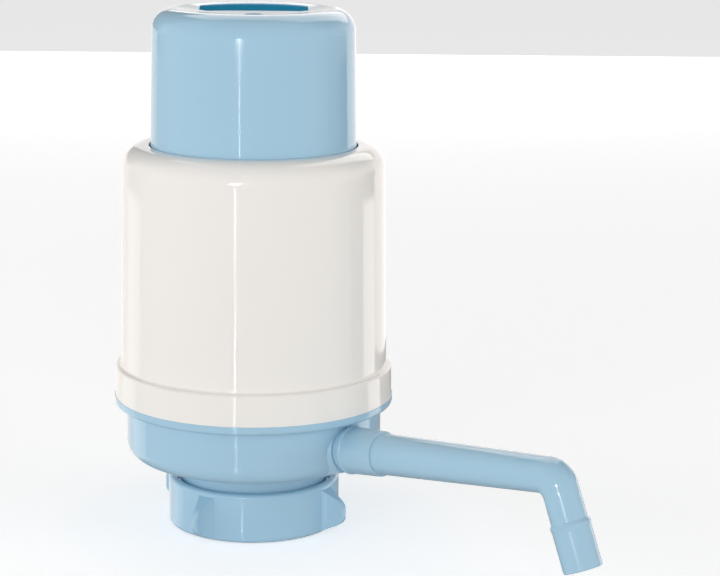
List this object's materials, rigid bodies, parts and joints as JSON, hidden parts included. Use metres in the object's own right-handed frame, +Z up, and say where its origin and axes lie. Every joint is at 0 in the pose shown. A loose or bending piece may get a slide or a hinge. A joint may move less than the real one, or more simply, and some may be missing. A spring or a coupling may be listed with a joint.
{
  "type": "water jug hand pump",
  "caption": "Hand-pressed air pump for a large water bottle: sliding cap in a round shell, neck clamp ring with fins and a bent swivelling spout.",
  "frame": {"origin": "centre of the neck clamp's mouth, in the plane of the clamp ring's lower edge", "axes": "+Z up along the pump's axis, +X towards the side the spout is on"},
  "size_m": [0.2356, 0.1148, 0.2133],
  "materials": {
    "blue_plastic": "gloss",
    "white_plastic": "gloss",
    "natural_plastic": "semi-matt",
    "dark_rubber": "matt",
    "clear_rubber": "matt",
    "spring_steel": "bright"
  },
  "bodies": {
    "base": {"base_housing": "blue_plastic", "neck_gasket": "clear_rubber", "tube_adapter": "natural_plastic", "adapter_seal": "dark_rubber", "spigot_seal": "dark_rubber", "cylinder_seal": "dark_rubber", "pump_cylinder": "natural_plastic", "outlet_cage": "natural_plastic", "return_spring": "spring_steel", "guide_ring": "natural_plastic", "outer_shell": "white_plastic"},
    "plunger": {"push_cap": "blue_plastic", "piston": "white_plastic", "piston_seal": "dark_rubber", "intake_cage": "natural_plastic", "piston_screws": "spring_steel"},
    "intake_disc": {"intake_valve": "clear_rubber"},
    "outlet_disc": {"outlet_valve": "clear_rubber"},
    "collet": {"clamp_collet": "natural_plastic"},
    "ring": {"clamp_ring": "blue_plastic"},
    "spout": {"spout_collar": "blue_plastic", "spout_tube": "blue_plastic", "outlet_sleeve": "blue_plastic"}
  },
  "joints": [
    {"name": "plunger_slide", "type": "slide", "parent": "base", "child": "plunger", "axis": [0, 0, -1], "range_m": [0, 0.05], "stiffness_N_per_m": 300, "springref_m": -0.04, "deforming": ["return_spring"]},
    {"name": "intake_valve_lift", "type": "slide", "parent": "plunger", "child": "intake_disc", "axis": [0, 0, -1], "range_m": [0, 0.0012], "stiffness_N_per_m": 20, "springref_m": -0.002},
    {"name": "outlet_valve_lift", "type": "slide", "parent": "base", "child": "outlet_disc", "axis": [0, 0, -1], "range_m": [0, 0.0012], "stiffness_N_per_m": 20, "springref_m": -0.002},
    {"name": "clamp_lift", "type": "slide", "parent": "base", "child": "collet", "axis": [0, 0, 1], "range_m": [0, 0.0031]},
    {"name": "ring_turn", "type": "hinge", "parent": "collet", "child": "ring", "pos_m": [0, 0, 0], "axis": [0, 0, 1], "range_deg": [0, 360]},
    {"name": "spout_swivel", "type": "hinge", "parent": "base", "child": "spout", "pos_m": [0, 0, 0.03465], "axis": [0.9945, 0, 0.1045], "continuous": true}
  ],
  "couplings": [
    {"joint": "clamp_lift", "follows": "ring_turn", "m_per_rad": 0.00047746}
  ]
}
